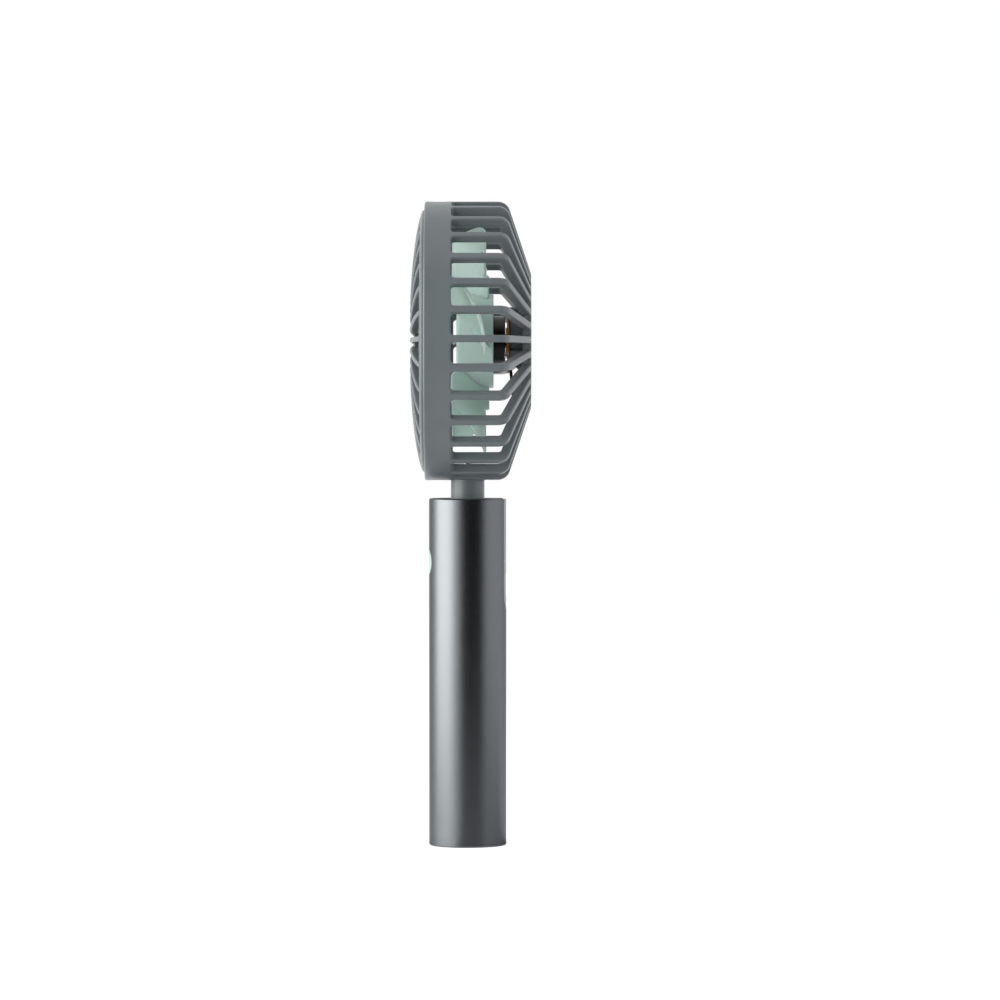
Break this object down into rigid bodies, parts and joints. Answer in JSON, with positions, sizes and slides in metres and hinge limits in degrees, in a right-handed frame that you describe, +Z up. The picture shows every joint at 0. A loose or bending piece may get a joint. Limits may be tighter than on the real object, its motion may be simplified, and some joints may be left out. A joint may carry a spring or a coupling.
{
  "type": "portable fan",
  "caption": "Slim rechargeable fan: a round caged head with a bladed rotor tilts back on a short neck above a plain tube handle with a push button.",
  "frame": {"origin": "centre of the handle's flat bottom face", "axes": "+Z up along the handle, -Y the way the air blows, +X to the side"},
  "size_m": [0.0994, 0.0432, 0.2296],
  "materials": {
    "anodised_tube": "dark grey anodised, fine satin grain",
    "head_plastic": "fine matte moulded texture",
    "collar_plastic": "fine matte moulded texture",
    "panel_plastic": "smooth satin moulding",
    "mint_plastic": "smooth slightly translucent moulding",
    "button_plastic": "smooth satin moulding",
    "frame_plastic": "plain moulded",
    "black_plastic": "plain moulded",
    "lead_sleeve": "smooth insulated wire",
    "cell_wrap": "shrunk plastic sleeve",
    "foam": "closed-cell foam",
    "board_green": "solder mask on glass laminate",
    "board_brown": "bare phenolic laminate",
    "plated_steel": "bright plated",
    "washer_steel": "plain spring steel",
    "motor_enamel": "black coated",
    "magnet": "bonded magnet",
    "core_steel": "stacked laminations",
    "copper_wire": "enamelled winding wire",
    "bush_bronze": "plain turned and sintered",
    "nylon": "plain moulded",
    "light_white": "small lamp bodies",
    "light_clear": "clear moulded light guide"
  },
  "bodies": {
    "handle": {"handle_tube": "anodised_tube", "bottom_cap": "collar_plastic", "inner_frame": "frame_plastic", "battery_cell": "cell_wrap", "battery_pad": "foam", "battery_tabs": "plated_steel", "battery_leads": "lead_sleeve", "main_board": "board_green", "board_parts": "black_plastic", "board_screws": "plated_steel", "tact_switch": "black_plastic", "usb_shell": "plated_steel", "usb_tongue": "black_plastic", "status_lights": "light_white", "light_guides": "light_clear", "rear_panel": "panel_plastic", "hinge_collar": "collar_plastic", "hinge_pins": "plated_steel", "friction_washers": "washer_steel", "fan_leads": "lead_sleeve"},
    "button": {"mode_button": "button_plastic", "switch_plunger": "black_plastic"},
    "head": {"neck_stem": "head_plastic", "neck_screws": "plated_steel", "rear_cage": "head_plastic", "front_grille": "head_plastic", "back_cap": "head_plastic", "motor_board": "board_brown", "motor_screws": "plated_steel", "bearing_holder": "bush_bronze", "motor_bushes": "bush_bronze", "stator_core": "core_steel", "stator_coils": "copper_wire", "motor_leads": "lead_sleeve"},
    "rotor": {"impeller": "mint_plastic", "rotor_can": "motor_enamel", "magnet_ring": "magnet", "motor_shaft": "plated_steel", "thrust_washer": "nylon", "shaft_clip": "plated_steel"}
  },
  "joints": [
    {"name": "head_tilt", "type": "hinge", "parent": "handle", "child": "head", "pos_m": [0, 0, 0.1173], "axis": [-1, 0, 0], "range_deg": [0, 27.5]},
    {"name": "rotor_spin", "type": "hinge", "parent": "head", "child": "rotor", "pos_m": [0, 0, 0.1799], "axis": [0, -1, 0], "continuous": true},
    {"name": "button_press", "type": "slide", "parent": "handle", "child": "button", "axis": [0, 1, 0], "range_m": [0, 0.0006], "stiffness_N_per_m": 1500}
  ]
}
